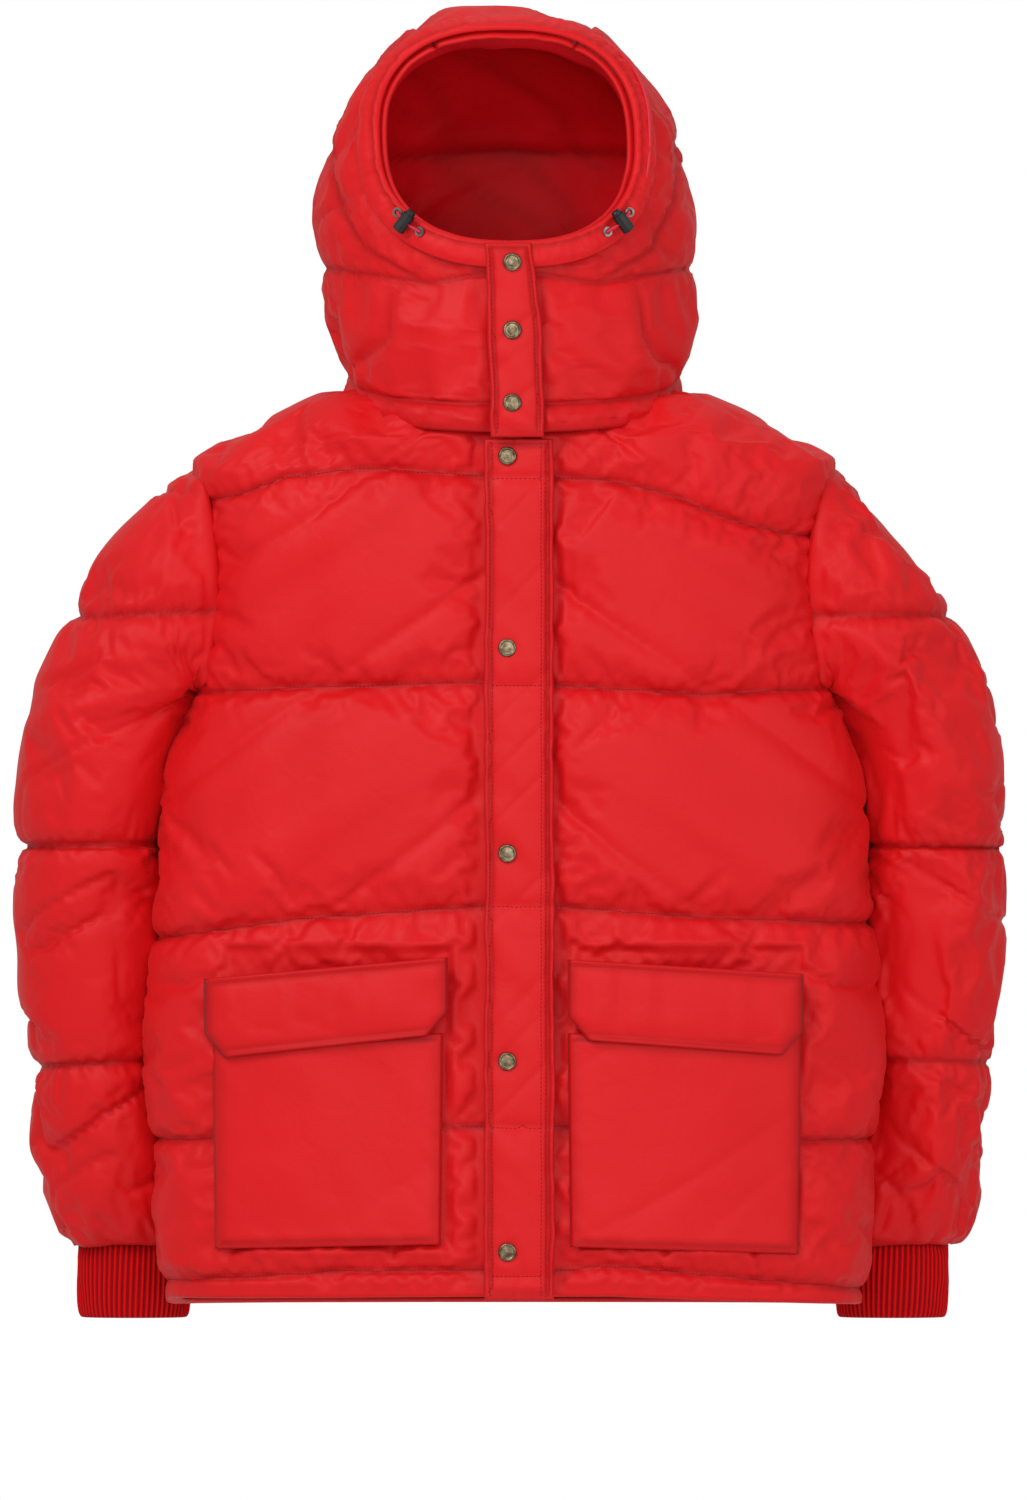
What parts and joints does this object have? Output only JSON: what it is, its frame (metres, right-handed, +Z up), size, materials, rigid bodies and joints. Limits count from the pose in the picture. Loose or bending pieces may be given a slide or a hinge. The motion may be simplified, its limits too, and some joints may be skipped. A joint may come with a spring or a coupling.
{
  "type": "ski jacket",
  "caption": "Hooded quilted ski jacket with zip under a press-studded storm flap, snap-off hood with drawcord, flapped patch pockets and rib cuffs",
  "frame": {"origin": "the hang loop inside the back of the collar, by which the jacket hangs", "axes": "+Z up along the hanging jacket, the front faces -Y, the wearer's left is +X"},
  "size_m": [0.802, 0.2969, 1.0683],
  "materials": {
    "shell_red": "downproof nylon taffeta, quilted over filling",
    "lining_red": "glossy dark red lining taffeta",
    "rib_red": "rib-knit wool and nylon",
    "tape_red": "woven zip tape with moulded teeth",
    "cord_red": "braided polyester cord",
    "snap_brass": "antique brass plating",
    "eyelet_nickel": "dark nickel plating",
    "lock_plastic": "moulded black acetal"
  },
  "bodies": {
    "root": {"front_panel_left": "shell_red", "front_panel_right": "shell_red", "back_panel": "shell_red", "body_lining": "lining_red", "collar": "shell_red", "hang_loop": "shell_red", "zip_tape_left": "tape_red", "zip_tape_right": "tape_red", "zip_box": "snap_brass", "zip_pin": "snap_brass", "under_flap": "shell_red", "snap_stud_1": "snap_brass", "snap_stud_2": "snap_brass", "snap_stud_3": "snap_brass", "snap_stud_4": "snap_brass", "snap_stud_5": "snap_brass", "pocket_left": "shell_red", "pocket_right": "shell_red", "sleeve_head_left": "shell_red", "sleeve_head_right": "shell_red"},
    "storm_flap": {"storm_flap": "shell_red", "snap_cap_1": "snap_brass", "snap_cap_2": "snap_brass", "snap_cap_3": "snap_brass", "snap_cap_4": "snap_brass", "snap_cap_5": "snap_brass"},
    "zip_slider": {"zip_slider": "snap_brass"},
    "zip_puller": {"zip_puller": "snap_brass"},
    "pocket_flap_left": {"pocket_flap_left": "shell_red"},
    "pocket_flap_right": {"pocket_flap_right": "shell_red"},
    "hood": {"hood_side_left": "shell_red", "hood_side_right": "shell_red", "hood_gusset": "shell_red", "hood_neck_band": "shell_red", "hood_tunnel": "shell_red", "hood_lining": "lining_red", "drawcord": "cord_red", "eyelet_left_upper": "eyelet_nickel", "eyelet_left_lower": "eyelet_nickel", "eyelet_right_upper": "eyelet_nickel", "eyelet_right_lower": "eyelet_nickel", "cord_lock_left": "lock_plastic", "cord_lock_right": "lock_plastic", "hood_snap_stud_1": "snap_brass", "hood_snap_stud_2": "snap_brass", "hood_snap_stud_3": "snap_brass"},
    "hood_flap": {"hood_flap": "shell_red", "hood_snap_cap_1": "snap_brass", "hood_snap_cap_2": "snap_brass", "hood_snap_cap_3": "snap_brass"},
    "cord_plunger_left": {"cord_plunger_left": "lock_plastic"},
    "cord_plunger_right": {"cord_plunger_right": "lock_plastic"},
    "upper_sleeve_left": {"upper_sleeve_left": "shell_red", "sleeve_badge": "snap_brass"},
    "upper_sleeve_right": {"upper_sleeve_right": "shell_red"},
    "lower_sleeve_left": {"lower_sleeve_left": "shell_red", "rib_cuff_left": "rib_red"},
    "lower_sleeve_right": {"lower_sleeve_right": "shell_red", "rib_cuff_right": "rib_red"}
  },
  "joints": [
    {"name": "shoulder_left", "type": "hinge", "parent": "root", "child": "upper_sleeve_left", "pos_m": [0.262, -0.07621, -0.16], "axis": [0, -1, 0], "range_deg": [0, 80]},
    {"name": "elbow_left", "type": "hinge", "parent": "upper_sleeve_left", "child": "lower_sleeve_left", "pos_m": [0.38238, -0.11243, -0.377], "axis": [-0.848, -0.5299, 0], "range_deg": [0, 100], "stiffness_Nm_per_rad": 0.8, "springref_deg": -14.32},
    {"name": "shoulder_right", "type": "hinge", "parent": "root", "child": "upper_sleeve_right", "pos_m": [-0.262, -0.07621, -0.16], "axis": [0, 1, 0], "range_deg": [0, 80]},
    {"name": "elbow_right", "type": "hinge", "parent": "upper_sleeve_right", "child": "lower_sleeve_right", "pos_m": [-0.38238, -0.11243, -0.377], "axis": [-0.848, 0.5299, 0], "range_deg": [0, 100], "stiffness_Nm_per_rad": 0.8, "springref_deg": -14.32},
    {"name": "hood_fold", "type": "hinge", "parent": "root", "child": "hood", "pos_m": [0, 0.03779, 0.012], "axis": [-1, 0, 0], "range_deg": [0, 70]},
    {"name": "storm_flap_hinge", "type": "hinge", "parent": "root", "child": "storm_flap", "pos_m": [0.033, -0.20271, -0.394], "axis": [0, 0, 1], "range_deg": [0, 95]},
    {"name": "hood_flap_hinge", "type": "hinge", "parent": "hood", "child": "hood_flap", "pos_m": [0.026, -0.21821, 0.037], "axis": [0, 0, 1], "range_deg": [0, 110]},
    {"name": "pocket_flap_hinge_left", "type": "hinge", "parent": "root", "child": "pocket_flap_left", "pos_m": [0.1445, -0.19631, -0.4725], "axis": [-0.9849, -0.156, 0.075], "range_deg": [0, 120], "stiffness_Nm_per_rad": 0.06, "springref_deg": -20.05},
    {"name": "pocket_flap_hinge_right", "type": "hinge", "parent": "root", "child": "pocket_flap_right", "pos_m": [-0.1445, -0.19631, -0.4725], "axis": [-0.9849, 0.156, -0.075], "range_deg": [0, 120], "stiffness_Nm_per_rad": 0.06, "springref_deg": -20.05},
    {"name": "zip_slide", "type": "slide", "parent": "root", "child": "zip_slider", "axis": [0, 0, -1], "range_m": [0, 0.64]},
    {"name": "puller_hinge", "type": "hinge", "parent": "zip_slider", "child": "zip_puller", "pos_m": [0.014, -0.18571, -0.06], "axis": [-1, 0, 0], "range_deg": [0, 18]},
    {"name": "cord_plunger_left", "type": "slide", "parent": "hood", "child": "cord_plunger_left", "axis": [0.5859, 0.2122, -0.7821], "range_m": [0, 0.003], "stiffness_N_per_m": 250},
    {"name": "cord_plunger_right", "type": "slide", "parent": "hood", "child": "cord_plunger_right", "axis": [-0.5859, 0.2122, -0.7821], "range_m": [0, 0.003], "stiffness_N_per_m": 250}
  ]
}
